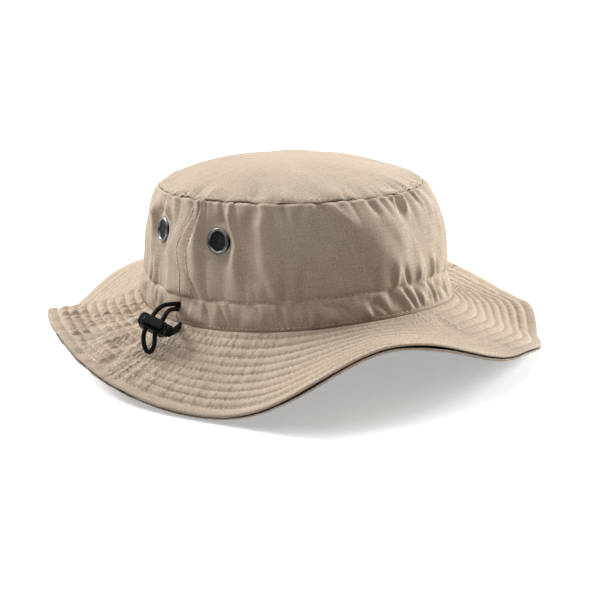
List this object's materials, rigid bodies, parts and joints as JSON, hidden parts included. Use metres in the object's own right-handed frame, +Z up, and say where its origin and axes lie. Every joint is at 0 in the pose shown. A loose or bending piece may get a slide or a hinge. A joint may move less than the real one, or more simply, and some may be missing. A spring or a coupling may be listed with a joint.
{
  "type": "boonie hat",
  "caption": "Wide-brimmed cloth sun hat with a stitched wavy brim, screened eyelets and an elastic drawcord with a cord lock.",
  "frame": {"origin": "On the surface the hat stands on, under the middle of its brim's outline", "axes": "-Y is the front of the hat, -X the wearer's right side with the cord lock, +Z up"},
  "size_m": [0.2734, 0.3138, 0.1089],
  "materials": {
    "crown_cloth": "matte, fine plain weave",
    "brim_cloth": "matte, stitched in rows",
    "interlining": "matte, non-woven",
    "binding_tape": "matte, herringbone tape",
    "sweatband_cloth": "matte, twill",
    "label_satin": "satin",
    "elastic_cord": "matte, braided",
    "webbing": "matte, woven tape",
    "lock_plastic": "semi-gloss moulded",
    "spring_steel": "bright wire",
    "eyelet_metal": "gunmetal lacquer",
    "screen_mesh": "blackened wire gauze"
  },
  "bodies": {
    "hat": {"brim_interlining_back": "interlining", "brim_interlining_front": "interlining", "brim_lower_back": "brim_cloth", "brim_lower_front": "brim_cloth", "brim_upper_back": "brim_cloth", "brim_upper_front": "brim_cloth", "care_label": "label_satin", "crown_seam_binding": "binding_tape", "crown_side_back": "crown_cloth", "crown_side_front": "crown_cloth", "crown_top": "crown_cloth", "drawcord_run": "elastic_cord", "eyelet_left_back": "eyelet_metal", "eyelet_left_front": "eyelet_metal", "eyelet_right_back": "eyelet_metal", "eyelet_right_front": "eyelet_metal", "eyelet_screen_left_back": "screen_mesh", "eyelet_screen_left_front": "screen_mesh", "eyelet_screen_right_back": "screen_mesh", "eyelet_screen_right_front": "screen_mesh", "eyelet_washer_left_back": "eyelet_metal", "eyelet_washer_left_front": "eyelet_metal", "eyelet_washer_right_back": "eyelet_metal", "eyelet_washer_right_front": "eyelet_metal", "side_seam_binding_left": "binding_tape", "side_seam_binding_right": "binding_tape", "sweatband": "sweatband_cloth"},
    "cord_lock": {"cord_lock_body": "lock_plastic", "cord_lock_spring": "spring_steel", "tether": "webbing", "cord_strand_back": "elastic_cord", "cord_strand_front": "elastic_cord", "cord_legs": "elastic_cord"},
    "lock_button": {"cord_lock_button": "lock_plastic"},
    "cord_loop": {"cord_loop_end": "elastic_cord"}
  },
  "joints": [
    {"name": "lock_swing", "type": "hinge", "parent": "hat", "child": "cord_lock", "pos_m": [-0.08394, 0.00115, 0.02894], "axis": [-0.0044, 0.998, -0.0628], "range_deg": [0, 70], "deforming": ["cord_strand_back", "cord_strand_front"]},
    {"name": "button_press", "type": "slide", "parent": "cord_lock", "child": "lock_button", "axis": [0.5056, 0.5653, -0.6518], "range_m": [0, 0.0015], "stiffness_N_per_m": 800, "springref_m": -0.001, "deforming": ["cord_lock_spring"]},
    {"name": "cord_pull", "type": "slide", "parent": "cord_lock", "child": "cord_loop", "axis": [-0.9851, -0.0151, -0.1711], "range_m": [0, 0.025], "deforming": ["cord_legs"]}
  ]
}
